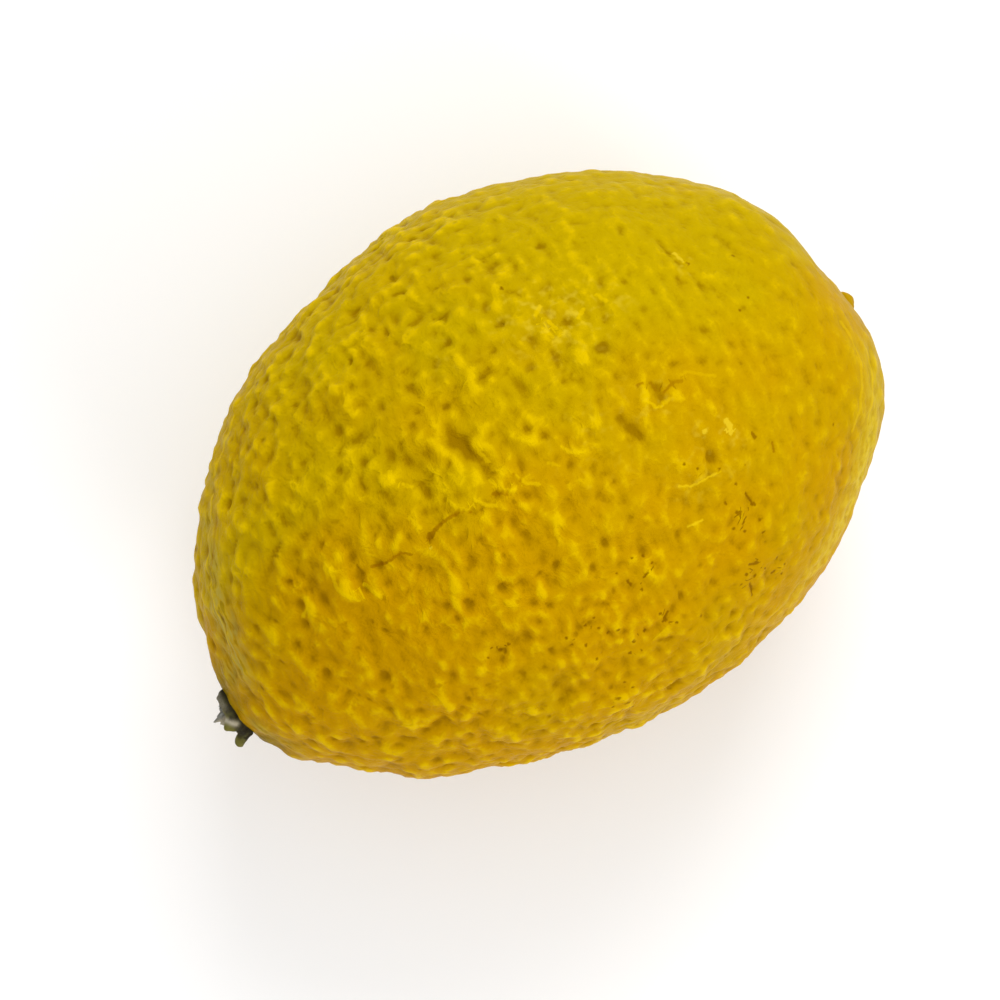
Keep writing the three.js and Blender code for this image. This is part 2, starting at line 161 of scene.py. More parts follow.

# Small ridges and pits of the upper side, in the same form. Like the strokes and the patches
# below, they were listed one by one, and nearly all were turned into millimetres by a program.
FINE_MARKS = [
    (10.1, 7.8, 11.8, 4.3, 0.5, 0.14), (-8.9, 10, -9.3, 7.5, 0.45, 0.14),
    (-20.1, -0.3, -19.9, -1.9, 0.4, 0.15), (-22.8, 10.9, -22, 9.6, 0.5, 0.16), (-20.4, 7.8, 0.45, 0.12),
    (-12.5, 2.9, -12.6, 1.4, 0.4, 0.14), (-35.4, -7.7, -35.1, -9.5, 0.5, 0.2),
    (-3, -0.9, -2.3, -3.2, 0.4, 0.16), (-6.3, 1, -4.8, -0.8, 0.4, 0.16),
    (-3.8, 0.9, -2.4, -0.4, 0.35, 0.14), (-8.4, 6, -7.9, 5, 0.4, 0.12),
    (-8.4, 1.6, -7.9, 0.7, 0.4, 0.12), (4.2, 0.6, 5.6, -1, 0.35, 0.12), (0.3, 4.2, 1.7, 2.7, 0.4, 0.14),
    (-3.2, -3.8, -3.1, -5.4, 0.4, 0.14), (-26.5, 1.5, -26.5, 0.2, 0.4, 0.15), (-23.4, 13.2, 0.5, 0.12),
    (-29.1, 3.4, 0.5, 0.14), (-26.2, 3.2, 0.45, 0.12), (-9.8, -1, 0.4, 0.12), (-12.3, 7.2, 0.4, 0.16),
    (-29.8, 7.1, 0.5, 0.18), (0.2, 13.6, -0.3, 10.5, 0.45, 0.12), (-14.6, 1.7, -13.6, -0.9, 0.35, 0.12),
    (-6.8, 8.4, -5.1, 2.4, 0.35, 0.12), (-5, 7, -3.4, 3, 0.4, -0.14), (-22.1, 16.1, 0.5, -0.12),
    (-11.8, 24.4, 0.45, -0.14), (-6.2, 21.5, 0.5, -0.14), (-1.6, 19.7, 0.5, -0.16),
    (10.9, 24.1, 0.5, -0.14), (13.5, 19.2, 0.6, -0.22), (8, 20.5, 0.5, -0.16),
    (5.2, 17, 5.7, 14.8, 0.45, -0.2), (7.7, 11.6, 0.45, -0.16), (1.3, 18.2, 0.45, -0.15),
    (11.4, 11.4, 0.5, -0.18), (12.9, 7.1, 0.5, -0.2), (11.4, 15.3, 0.45, -0.14),
    (16.2, 12.5, 0.5, -0.16), (14.9, 9.2, 0.4, -0.15), (18.7, 8, 0.4, -0.14),
    (21.3, 16.4, 21, 15.8, 0.3, -0.16), (18.6, 11.5, 0.4, -0.12), (1.6, 11, 0.4, -0.14),
    (5.9, 9.1, 0.4, -0.18), (7.8, 6.2, 0.35, -0.15), (9.3, 5.5, 0.35, -0.15), (9.8, 2.6, 0.4, -0.16),
    (-3.7, 10.4, 0.4, -0.15), (-7.6, 10.5, 0.45, -0.16), (-5.8, 14.1, 0.45, -0.14),
    (1.9, 4.1, 0.4, -0.2), (3.8, -1.4, 0.35, -0.15), (10.7, -0.2, 11.3, -2.6, 0.5, -0.2),
    (15.3, 0.3, 0.6, -0.2), (15.4, -0.7, 0.4, -0.2), (14.9, 1.4, 15.7, 0.5, 0.3, -0.12),
    (17.9, 1.7, 0.4, -0.16), (6.2, -4, 0.45, -0.18), (16.3, -8.4, 0.45, -0.22), (22.9, 3.1, 0.4, -0.14),
    (24.4, 0.2, 0.35, -0.1), (27.9, -2.1, 0.35, -0.08), (16.3, 3.8, 0.4, -0.14),
    (22.1, -0.8, 0.4, -0.12), (20.9, 0.3, 0.35, -0.1), (12.6, 3.9, 0.4, -0.15),
    (-1.7, 0.6, -1.4, -0.2, 0.4, -0.16), (-4, 0.1, 0.35, -0.14), (-1.6, -1.7, 0.4, -0.16),
    (-13.7, 12.7, 0.45, -0.22), (-20, 10.7, 0.45, -0.14), (-16.5, 10.8, 0.35, -0.15),
    (-15, 9, 0.35, -0.12), (-17.8, 21.6, 0.4, -0.15), (-18, 19.4, 0.4, -0.13), (-8.7, 27.4, 0.4, -0.13),
    (-6.7, 24.2, 0.35, -0.1), (-1.9, 25.9, 0.4, -0.12), (1.5, 21.8, 0.4, -0.12),
    (-10.7, 17.6, 0.45, -0.14), (-11.5, 15.5, 0.35, -0.13), (-20.1, 22.3, 0.4, -0.14),
    (-27.7, 18.1, 0.45, -0.15), (-25.4, 9.9, 0.5, -0.16), (-23.7, 9.2, 0.5, -0.12),
    (-19.2, 8.3, 0.5, -0.1), (-23.1, 7.1, 0.5, -0.2), (-25.6, 8.9, 0.4, -0.14), (-26.3, 7.4, 0.4, -0.15),
    (-27.1, 4, 0.4, -0.15), (-32.5, 7.6, 0.7, -0.2), (-34.4, 4.4, 0.5, -0.15), (-32.2, -1.2, 0.5, -0.15),
    (-27.5, 1.4, 0.5, -0.2), (-27.8, -0.6, 0.4, -0.15), (-25, 0.4, 0.45, -0.15),
    (-20.2, 2.5, 0.45, -0.16), (-20.6, 0.5, -20.7, -0.8, 0.45, -0.22), (-18.3, 0.5, 0.4, -0.2),
    (-18.6, -1.6, 0.35, -0.15), (-15.9, -0.1, 0.4, -0.16), (-17.2, 4.3, 0.5, -0.1),
    (-15.4, 2.1, 0.45, -0.14), (-11.3, 2.5, 0.4, -0.16), (-14.4, -6.7, 0.4, -0.16),
    (-14.6, -8.4, 0.4, -0.14), (-28.9, -5.8, 0.5, -0.2), (-24.3, -9.5, 0.55, -0.2),
    (-32.3, -12.4, 0.45, -0.18), (-12.7, -14.7, 0.4, -0.15), (-18.1, -13, 0.4, -0.12),
    (-17.9, -15.8, 0.4, -0.14), (-20, -16.8, 0.5, -0.2), (-22.5, -16.8, 0.4, -0.14),
    (-23, -14.5, 0.4, -0.13), (-15.5, -20.3, 0.45, -0.14), (-28.3, -17, 0.4, -0.14),
    (5.2, -6.7, 0.35, -0.14), (7.1, -10.7, 0.35, -0.15), (5.4, -13.1, 0.4, -0.18),
    (2.6, -10.1, 0.45, -0.18), (9.4, -13.3, 0.35, -0.12), (-6.9, -11.3, 0.35, -0.15),
    (-5.7, -12.4, 0.35, -0.15), (-8.2, -14.9, 0.4, -0.12), (-6.1, -16.9, 0.35, -0.12),
    (-3.2, -14.6, 0.35, -0.14), (-3.5, -16.1, 0.35, -0.15), (-9.7, -19.7, 0.4, -0.12),
    (-5.3, -19.9, 0.35, -0.12), (0.2, -17.9, 0.4, -0.12), (3.7, -20.1, 0.35, -0.12),
    (7.6, -24, 0.4, -0.12), (-0.5, -24.9, 0.35, -0.12), (-11.9, -24.8, 0.4, -0.14),
    (-9.5, -26.7, 0.35, -0.12), (-22.9, -16.9, 0.4, -0.14), (20.5, -14.4, 0.4, -0.1),
    (21.1, -19.8, 0.35, -0.12), (22.7, -22.6, 0.35, -0.12), (20.8, -22.5, 0.3, -0.1),
    (17.8, -25.2, 0.35, -0.12), (15, -24.2, 0.3, -0.1), (28.2, -17.5, 0.35, -0.12),
    (27, -19.4, 0.35, -0.12), (28.5, -15.5, 0.3, -0.1), (23.7, -19.9, 0.35, -0.1),
    (14, -26.3, 0.35, -0.12), (10.7, -26.4, 0.35, -0.14), (9.6, -25.3, 0.3, -0.1),
    (8.5, -27.4, 0.4, -0.14), (5.7, -25.2, 0.35, -0.12), (3.3, -24, 0.35, -0.12),
    (-12.2, 0, -12.3, -0.3, 0.35, -0.2), (24.3, 13.3, 24.6, 11.8, 24.9, 9.9, 0.3, -0.12),
    (25.3, 8.5, 25.5, 6.7, 0.3, -0.06),
]

# Thin marks of the upper side: x and y of each corner or of a dot, half width, and a tone
# between -1 for a dark speck or crack and 1 for a pale scuff. Pale marks of a tone below about 0.8 are a
# painted highlight on the lip of a fold.
STROKES = [
    (-12.4, 0.2, -10.1, 0.7, 0.11, -0.8), (-10.1, 0.7, -8.3, 0.6, 0.08, -0.75),
    (-8.3, 0.6, -7.3, 0, 0.06, -0.7), (-12.2, 0.1, -12, 0.2, 0.24, -0.9),
    (-18.9, 0.7, -17.6, 0.3, 0.09, -0.75), (-17.6, 0.3, -16.3, 0.3, 0.08, -0.7),
    (-16.3, 0.3, -15.5, 0.3, 0.07, -0.7), (-15.5, 0.3, -14.8, -0.4, 0.06, -0.7),
    (22.7, -10.7, 22.4, -11.5, 0.08, -0.7), (18.8, -10.9, 0, -1), (15.9, -14.9, 0.12, -1),
    (15.6, -14.5, 16, -15.2, 0.08, -1), (17.5, -13.5, 17.6, -14.1, 0.05, -1),
    (17.6, -14.1, 17.8, -14.9, 0.04, -1), (17, -12, 0.06, -1), (17.4, -16.7, 0.07, -1),
    (13.8, -19.8, 14.6, -20.2, 0.07, -1), (13, -21.6, 12.9, -22.4, 0.08, -1),
    (12.9, -22.4, 12.6, -22.9, 0.04, -1), (16.8, -21, 0.07, -1), (15.8, -22.1, 0.08, -1),
    (21.3, -8.7, 21.3, -9.1, 0.13, -0.9), (29.5, -12.6, 0.07, -1), (4.3, -19.8, 3.3, -20.4, 0.07, -1),
    (7, -21.9, 0.05, -1), (7.6, 17.6, 0.08, -1), (25.7, 9.8, 0.08, -1),
    (14.2, 1.7, 13.7, 1.8, 0.06, -0.7), (16.8, 0.1, 15.7, -0.2, 0.06, -0.7),
    (2.5, -14.8, 2.5, -15.4, 0.08, -1), (3.2, -16.3, 0.07, -1), (4.1, -15.3, 4.6, -15, 0.05, -1),
    (1.9, -13.4, 0.06, -1), (5.6, -14.5, 0.05, -1), (-4.8, -24, 0.06, -1), (-4.2, -24.9, 0.06, -1),
    (-3.7, -16.2, 0.06, -1), (-5.9, -16.9, 0.05, -1), (25, 11.5, 25.4, 10.1, 0.07, 0.85),
    (19.4, -6.1, 19.4, -6.7, 0.26, 0.85), (19.1, -7.3, 0.2, 0.85), (17, -5.8, 0.2, 0.85),
    (12, -9.2, 13.2, -9.9, 16.2, -10.1, 0.05, 0.8), (10.7, -13.2, 12.2, -13.4, 0.05, 0.8),
    (-14.5, 12, 0.08, 0.85), (-12.7, -0.9, 0.08, 0.85), (9.9, 14, 9, 13.4, 0.14, 0.65),
    (9.8, 12.2, 10.1, 11.2, 0.15, 0.65), (12.4, 10.8, 13.5, 11.3, 0.12, 0.6),
    (15.3, 11.8, 15.8, 10.7, 0.12, 0.6), (14.1, -1.1, 15.1, -1.4, 0.05, 0.85),
    (4.1, 0.6, 4.4, -0.2, 5.4, -0.9, 0.11, 0.6), (-1.5, 0.6, -1, -0.6, 0, -1.3, 0.12, 0.6),
    (-3.9, 1.7, -3.6, 0.3, -2.4, -0.5, 0.12, 0.6), (-6.3, 0.8, -5.7, -0.2, -4.8, -0.8, 0.12, 0.6),
    (-8.6, 2.3, -8.3, 1, -7.3, 0.2, 0.12, 0.5), (-3.4, 4.7, -3.1, 3.3, 0.11, 0.5),
    (1.9, 0, 2.8, -0.8, 0.09, 0.4), (0.9, 3.4, 1.7, 2.7, 0.12, 0.5), (-1.6, 0.9, -1.4, 0, 0.07, -0.5),
    (-4.4, 0.3, -3, -0.6, 0.09, -0.5), (-12, 7.8, -12.2, 6.7, 0.16, 0.6),
    (-11.6, 6, -11.1, 5.4, 0.14, 0.6), (-22.2, 2.8, -22.9, 0.9, -21.8, -1.4, 0.16, 0.6),
    (-20.6, -0.4, -19.7, -2.3, 0.16, 0.6), (-12.4, 16, -12.4, 14.7, -11.6, 15, 0.12, 0.5),
    (-15, 12.4, -14.7, 11.8, 0.12, 0.5), (-27.8, 0.2, -26.8, 0.7, 0.14, 0.6),
    (-12.8, 2.9, -12.5, 1.4, 0.14, 0.5), (13.4, 0.1, 14.3, -1.2, 15.7, -1.1, 0.11, 0.6),
    (18.5, 0.4, 19.8, -0.7, 20.9, -1.6, 0.09, 0.3), (16.9, 0.1, 17.7, -0.2, 0.1, -0.5),
    (15, 1.3, 15.2, 0.4, 0.1, -0.4), (8.9, 11.9, 9.3, 10.7, 0.16, 0.6),
    (-29.6, 16.2, -32, 13, -34, 10, -35.2, 6.7, -36.6, 2, 0.2, 0.5),
    (-33.2, 12.9, -35.3, 10, -37, 6.1, 0.2, 0.5), (-33.3, 11.4, -34.8, 8.1, -36.1, 4.2, 0.2, -0.35),
    (-29.7, 14.7, -31.5, 11.9, -33.5, 9.7, 0.2, -0.35), (-23.2, 21.9, -26, 19.6, -28.5, 17.8, 0.2, 0.5),
    (-23.1, 20.2, -26.3, 17.8, 0.2, -0.3),
    (36.1, -4, 35.9, -6.4, 35.3, -8.5, 34.3, -10.6, 32.9, -12.7, 31.2, -14.3, 0.18, 0.4),
    (36.9, -7.9, 36.1, -10.2, 35, -12.3, 33.3, -14.4, 0.2, 0.4),
]
STROKE_REACH = 0.7  # a corner this far from a stroke no longer knows of it

SPECK_SEED = 41
SPECKS_TRIED = 5  # in a patch of radius and share 1
SPECK_GAP = 0.85
SPECK_LENGTH = 0.08
SPECK_HALF_WIDTH = 0.085

# Patches that small dark specks are strewn over: x, y, radius, share.
SPECK_PATCHES = [
    (15.9, -14.8, 2, 1), (16.3, -16.6, 1.6, 0.6), (16, -21.5, 1.6, 1), (13.5, -21, 1.6, 0.8),
    (2.9, -14.7, 2.2, 1), (5.2, -14.3, 1.2, 0.8), (-4.6, -24.5, 1.8, 1), (-3.7, -16.2, 1.2, 0.9),
    (-5.9, -16.9, 1.1, 0.8), (3.9, -20, 1.4, 0.8), (7, -21.9, 1, 0.6), (-3.2, -18.1, 2.2, 0.5),
    (-0.3, -21.3, 2, 0.4), (-12.9, -14.3, 2, 0.4), (29.7, 8.3, 1.2, 0.4), (28, 3.3, 1, 0.4),
    (14.6, -8.9, 2.5, 0.3),
]
# Patches with pale waxy scuffs: x, y, radius, share.
SCUFF_PATCHES = [
    (19.2, -6.9, 1.2, 0.7), (17, -5.8, 1, 0.6), (13.2, -9.2, 2, 0.4), (7.9, 14.7, 3, 0.45),
    (10.8, 11.6, 3.2, 0.7), (16.2, 10.6, 2.2, 0.5), (25, 10.4, 1, 1), (14.1, -0.2, 2, 0.5),
    (-1.7, 14.7, 2, 0.3), (7.6, -0.9, 3.5, 0.3), (18.3, -10, 2, 0.4),
]
# Patches of pale, streaky bloom along the edge by the blossom end, partly a painted sheen where
# the peel turns away: x, y, radius, share.
BLOOM_AND_SHEEN_PATCHES = [
    (36.4, 5, 1.6, 0.2), (37.4, 0.5, 1.8, 0.2), (36.8, -4.5, 2, 0.22), (36.5, -8.8, 2.2, 0.28),
    (35.2, -12.6, 2.4, 0.38), (33, -15.8, 2.4, 0.5), (30.6, -18.4, 2.4, 0.6), (27.6, -20.9, 2.3, 0.65),
    (24, -23, 2.1, 0.65), (20.2, -24.6, 1.8, 0.55), (16.4, -25.9, 1.6, 0.35), (12.4, -26.6, 1.5, 0.25),
]
# Patches of dull, tan peel with streaks round the stem end, along the edge, the pale tan partly
# a painted sheen where the peel turns away: x, y, radius, share.
TAN_AND_SHEEN_PATCHES = [
    (-32.9, 10.2, 1.3, 1), (-34.9, 6.5, 1.6, 1), (-36.2, 3, 2, 1), (-37.2, -0.2, 1.8, 0.9),
    (-31.4, 14.2, 1.1, 0.9), (-28.6, 17.7, 0.9, 0.8), (-25.2, 20.3, 0.9, 0.7), (-39.2, -0.6, 1.2, 0.9),
    (-38.8, -7.4, 1, 0.8), (-37.5, -10.5, 0.9, 0.6), (-20.4, 24.2, 0.8, 0.5),
]


# ---- form of the fruit

BISECTIONS = 30

def outline_radius(angle):
    """Smooth closed curve through the outline's radii (trigonometric interpolation)."""
    count = len(OUTLINE_RADII)
    radius = np.zeros_like(angle)
    for k, sample in enumerate(OUTLINE_RADII):
        offset = angle - 2 * math.pi * k / count
        slope = count * np.tan(offset / 2)
        at_sample = np.abs(slope) < 1e-9
        weight = np.sin(count * offset / 2) / np.where(at_sample, 1, slope)
        radius += sample * np.where(at_sample, 1, weight)
    return radius


def form_radius(directions):
    x, y, z = directions.T
    across = np.hypot(y, z)
    angle = np.arctan2(across, x)
    left = outline_radius(angle)
    right = outline_radius(-angle)
    side = y / np.maximum(across, 1e-12)
    middle = (left + right) / 2 * (1 - FLATTENING * z**2)
    return middle + (left - right) / 2 * side + BELLY_SHIFT * x * z**2


def upper_points(plan):
    """Points of the upper side over plan points (x, y), by bisection of their elevation."""
    plan = np.asarray(plan, float)
    azimuth = np.arctan2(plan[:, 1], plan[:, 0])
    reach = np.hypot(plan[:, 0], plan[:, 1])
    low = np.zeros(len(plan))
    high = np.full(len(plan), math.pi / 2)
    for _ in range(BISECTIONS):
        elevation = (low + high) / 2
        level = np.cos(elevation)
        directions = [level * np.cos(azimuth), level * np.sin(azimuth), np.sin(elevation)]
        directions = np.stack(directions, axis=1)
        outside = form_radius(directions) * level > reach
        low = np.where(outside, elevation, low)
        high = np.where(outside, high, elevation)
    return directions * form_radius(directions)[:, None]


# ---- relief of the peel


GOLDEN_ANGLE = math.pi * (3 - math.sqrt(5))
MARK_REACH = 3.5  # a mark is reckoned out to this many times its width


def random_draws(seed):
    """Lehmer's generator, as in the CAD model."""
    state = seed
    while True:
        state = state * 16807 % 2147483647
        yield state / 2147483647


def plane_waves(count, shortest, longest, stretch, seed):
    draws = random_draws(seed)
    waves = []
    phases = []
    for _ in range(count):
        along = 2 * next(draws) - 1
        turn = 2 * math.pi * next(draws)
        across = math.sqrt(1 - along * along) / math.sqrt(stretch)
        wavelength = shortest + (longest - shortest) * next(draws)
        wave = np.array([along * stretch, across * math.cos(turn), across * math.sin(turn)])
        waves.append(wave * 2 * math.pi / wavelength)
        phases.append(2 * math.pi * next(draws))
    return np.array(waves), np.array(phases)


def wave_height(settings, points):
    """Sum of seeded plane waves at the points, with a mean square of one."""
    waves, phases = plane_waves(**settings)
    total = np.zeros(len(points))
    for wave, phase in zip(waves, phases):
        total += np.cos(points @ wave + phase)
    return total * math.sqrt(2 / len(waves))


def fade(distance, width):
    return np.exp(-((distance / width) ** 2) / 2)


def smoothstep(value, low, high):
    share = np.clip((value - low) / (high - low), 0, 1)
    return share * share * (3 - 2 * share)


def distance_to_line(points, start, end):
    line = end - start
    length = max(line @ line, 1e-12)
    share = np.clip((points - start) @ line / length, 0, 1)
    return np.linalg.norm(points - start - share[:, None] * line, axis=1)


def seat_relief(points):
    y = points[:, 1] - SEAT[1]
    z = points[:, 2] - SEAT[2]
    from_axis = np.where(points[:, 0] < 0, np.hypot(y, z), np.inf)
    furrows = np.cos(len(SEPAL_TOPS) * np.arctan2(z, -y)) - 1
    furrow_share = FURROW_DEPTH / 2 * fade(from_axis - FURROW_MIDDLE, FURROW_WIDTH)
    return furrows * furrow_share - SEAT_DIP * fade(from_axis, SEAT_DIP_RADIUS)


def strew_dimples(count, narrowest, widest, shallowest, deepest, seed):
    """Middle, width and depth of one dimple near each point of a golden spiral over the peel."""
    draws = random_draws(seed)
    directions = []
    widths = []
    depths = []
    for k in range(count):
        along = 1 - 2 * (k + next(draws)) / count
        turn = GOLDEN_ANGLE * k + next(draws)
        across = math.sqrt(1 - along * along)
        directions.append((along, across * math.cos(turn), across * math.sin(turn)))
        widths.append(narrowest + (widest - narrowest) * next(draws))
        depths.append(shallowest + (deepest - shallowest) * next(draws))
    directions = np.array(directions)
    return directions * form_radius(directions)[:, None], np.array(widths), np.array(depths)


def corners_near(tree, middle, reach):
    return np.array([found[1] for found in tree.find_range(middle, reach)], int)


def pit_height(points, tree, middles, widths, depths, astray=0):
    """Height that pits take away from points near them. They are round if no point is astray."""
    height = np.zeros(len(points))
    places = points + astray
    for middle, width, depth in zip(middles, widths, depths):
        index = corners_near(tree, middle, MARK_REACH * width)
        distance = np.linalg.norm(places[index] - middle, axis=1)
        height[index] -= depth * fade(distance, width)
    return height


def straight_pieces(marks):
    """Start, end, width and last value of each straight piece. A round mark is one piece."""
    for *places, width, value in marks:
        corners = list(zip(places[::2], places[1::2]))
        for start, end in zip(corners, corners[1:] or corners):
            yield start, end, width, value


def mark_height(points, tree, marks):
    """Height that long or round marks of the upper side add to the points near them."""
    height = np.zeros(len(points))
    for *ends, width, rise in straight_pieces(marks):
        start, end = upper_points(ends)
        reach = np.linalg.norm(end - start) / 2 + MARK_REACH * width
        index = corners_near(tree, (start + end) / 2, reach)
        height[index] += rise * fade(distance_to_line(points[index], start, end), width)
    return height


def peel_relief(points, tree):
    """Relief of the CAD model and, on top of it, the fine relief. The points start at the core."""
    smooth = smoothstep(points[:, 0], ROUGH_UNTIL_X, SMOOTH_FROM_X)
    calm = 1 - fade(np.linalg.norm(points + CORE, axis=1), SPOT_CALM_RADIUS)
    rough = LUMP_RISE * wave_height(LUMPS, points)
    rough += pit_height(points, tree, *strew_dimples(**DIMPLES))
    rough *= 1 + (SMOOTH_END_SHARE - 1) * smooth
    fine = CRINKLE_RISE * wave_height(CRINKLE, points)
    astray = [wave_height({**PIT_DRIFT, "seed": seed}, points) for seed in PIT_DRIFT_SEEDS]
    astray = PIT_DRIFT_REACH * np.stack(astray, axis=1)
    fine += pit_height(points, tree, *strew_dimples(**PITS), astray)
    fine *= 1 + (FINE_SMOOTH_END_SHARE - 1) * smooth
    height = (SWELL_RISE * wave_height(SWELLS, points) + rough + fine) * calm
    height += mark_height(points, tree, RIDGES_AND_HOLLOWS)
    height += FINE_MARK_GAIN * mark_height(points, tree, FINE_MARKS)
    return height + seat_relief(points)


# ---- meshes


def cube_sphere(cells):
    """Directions and four-sided faces of a sphere, each side of a cube cut into cells."""
    steps = np.tan(np.linspace(-math.pi / 4, math.pi / 4, cells + 1))
    v, u = np.meshgrid(steps, steps, indexing="ij")
    directions = []
    faces = []
    corner = np.arange((cells + 1) ** 2).reshape(cells + 1, cells + 1)
    quads = np.stack(
        [corner[:-1, :-1], corner[:-1, 1:], corner[1:, 1:], corner[1:, :-1]], axis=-1
    ).reshape(-1, 4)
    for axis in range(3):
        for sign in (1, -1):
            side = np.empty((cells + 1, cells + 1, 3))
            side[..., axis] = sign
            side[..., (axis + 1) % 3] = sign * u
            side[..., (axis + 2) % 3] = v
            faces.append(quads + len(directions) * (cells + 1) ** 2)
            directions.append(side.reshape(-1, 3))
    directions = np.concatenate(directions)
    directions /= np.linalg.norm(directions, axis=1)[:, None]
    places = np.round(directions, 7)
    _, first, merged = np.unique(places, axis=0, return_index=True, return_inverse=True)
    return directions[first], merged.reshape(-1)[np.concatenate(faces)]


def add_object(name, data):
    thing = bpy.data.objects.new(name, data)
    bpy.context.scene.collection.objects.link(thing)
    return thing


def add_piece(name, points, faces, attributes):
    """A smooth piece that rides on the only body, from points in millimetres."""
    mesh = bpy.data.meshes.new(name)
    mesh.from_pydata(points * MM, [], faces)
    mesh.update()
    mesh.shade_smooth()
    for key, values in attributes.items():
        layer = mesh.attributes.new(key, "FLOAT", "POINT")
        layer.data.foreach_set("value", values.astype(np.float32))
    piece = add_object(name, mesh)
    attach(piece, "root")
    return piece


def smoothed(values, faces, rounds):
    """Means of the values over the corners next to each corner, taken again and again."""
    ends = np.concatenate([faces, np.roll(faces, -1, axis=1)])
    one, other = ends[: len(faces)].reshape(-1), ends[len(faces) :].reshape(-1)
    count = 1 + np.bincount(one, minlength=len(values)) + np.bincount(other, minlength=len(values))
    for _ in range(rounds):
        total = values + np.bincount(one, values[other], len(values))
        total += np.bincount(other, values[one], len(values))
        values = total / count
    return values


def strewn_specks(patches, seed, marks):
    """Short dark strokes strewn over the patches, clear of the marks and of each other."""
    draws = random_draws(seed)
    taken = [start for start, *_ in straight_pieces(marks)]
    specks = []
    for x, y, radius, share in patches:
        for _ in range(round(SPECKS_TRIED * share * radius)):
            turn = 2 * math.pi * next(draws)
            heading = 2 * math.pi * next(draws)
            away = radius * math.sqrt(next(draws))
            start = (x + away * math.cos(turn), y + away * math.sin(turn))
            length = SPECK_LENGTH * next(draws)
            half_width = SPECK_HALF_WIDTH * (0.5 + next(draws))
            if min(math.dist(start, other) for other in taken) < SPECK_GAP:
                continue
            taken.append(start)
            end = (start[0] + length * math.cos(heading), start[1] + length * math.sin(heading))
            specks.append((*start, *end, half_width, -1))
    return specks


def stroke_looks(points, tree, strokes):
    """Where each corner lies to the stroke next to it."""
    names = ("stroke_along", "stroke_across", "stroke_half", "stroke_width", "stroke_tone")
    looks = {name: np.zeros(len(points)) for name in names}
    looks["stroke_width"] -= 1
    nearest = np.full(len(points), STROKE_REACH)
    for *ends, half_width, tone in straight_pieces(strokes):
        start, end = upper_points(ends)
        middle = (start + end) / 2
        half = np.linalg.norm(end - start) / 2
        heading = (end - start) / (2 * half) if half > 0 else np.array([0.0, 1.0, 0.0])
        sideways = np.cross(middle / np.linalg.norm(middle), heading)
        index = corners_near(tree, middle, half + half_width + STROKE_REACH)
        along = (points[index] - middle) @ heading
        across = (points[index] - middle) @ sideways
        away = np.hypot(np.maximum(np.abs(along) - half, 0), across) - half_width
        closer = away < nearest[index]
        index = index[closer]
        nearest[index] = away[closer]
        values = (along[closer], across[closer], half, half_width, tone)
        for name, value in zip(names, values):
            looks[name][index] = value
    return looks


def kept_inside(points, box, no_limit=()):
    """The points, those past the box folded back in by a little, so no face is squashed."""
    low, high = (np.array(corner) / MM for corner in box)
    high[list(no_limit)] = np.inf
    past = np.maximum(points - high, 0) - np.maximum(low - points, 0)
    return points - (1 + FOLD_BACK) * past


def patch_share(points, patches):
    share = np.zeros(len(points))
    for x, y, radius, strength in patches:
        middle = upper_points([(x, y)])[0]
        share += strength * fade(np.linalg.norm(points - middle, axis=1), radius)
    return np.minimum(share, 1)


def nub_mesh(radius_at):
    """Dried remnant of the style, a small knob half sunk in the blossom end."""
    directions, faces = cube_sphere(NUB_CELLS)
    outward = np.array([math.cos(NUB_ANGLE), math.sin(NUB_ANGLE), 0])
    middle = outward * (radius_at(outward) + NUB_STANDS_OUT - NUB_RADIUS)
    bumps = 1 + NUB_ROUGHNESS * wave_height(NUB_BUMPS, directions)
    return middle + directions * bumps[:, None] * NUB_RADIUS, faces


def make_peel():
    directions, faces = cube_sphere(PEEL_CELLS)
    points = directions * form_radius(directions)[:, None]
    tree = kdtree.KDTree(len(points))
    for index, point in enumerate(points):
        tree.insert(point, index)
    tree.balance()
    height = peel_relief(points, tree)
    radius = np.linalg.norm(points, axis=1) + height
    radius = np.minimum(radius, CORE[2] / np.maximum(-directions[:, 2], 1e-9))  # the flat spot
    nub_points, nub_faces = nub_mesh(lambda outward: radius[np.argmax(directions @ outward)])
    plain = np.zeros(len(nub_points))
    strokes = STROKES + strewn_specks(SPECK_PATCHES, SPECK_SEED, STROKES)
    looks = {
        # The relief against the smoothed skin darkens the colour as painted shade in hollows and pales
        # it as a painted highlight on ridges.
        "relief": height - smoothed(height, faces, RELIEF_REACH),
        "tan_and_sheen_share": patch_share(points, TAN_AND_SHEEN_PATCHES),
        "bloom_and_sheen_share": patch_share(points, BLOOM_AND_SHEEN_PATCHES),
        "scuff_share": patch_share(points, SCUFF_PATCHES),
        **stroke_looks(points, tree, strokes),
    }
    for name, values in looks.items():
        looks[name] = np.append(values, plain - (name == "stroke_width"))
    looks["nub"] = np.append(0 * height, plain + 1)
    faces = np.concatenate([faces, nub_faces + len(points)])
    points = np.concatenate([directions * radius[:, None], nub_points]) + CORE
    return add_piece("peel", kept_inside(points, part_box("fruit")), faces, looks)


def stem_place(local):
    """From the stem end's own frame, whose Z axis points out of the fruit, to the origin's."""
    along, up, outward = np.asarray(local, float).T
    return np.stack([-outward, -along, up], axis=1) + SEAT + CORE


def rounded(profile, rounds):
    """Rings of corners between the rings of a profile, with its edges cut round."""
    for _ in range(rounds):
        quarter = 0.75 * profile[:-1] + 0.25 * profile[1:]
        three_quarter = 0.25 * profile[:-1] + 0.75 * profile[1:]
        inner = np.stack([quarter, three_quarter], axis=1).reshape(-1, *profile.shape[1:])
        profile = np.concatenate([profile[:1], inner[1:-1], profile[-1:]])
    return profile


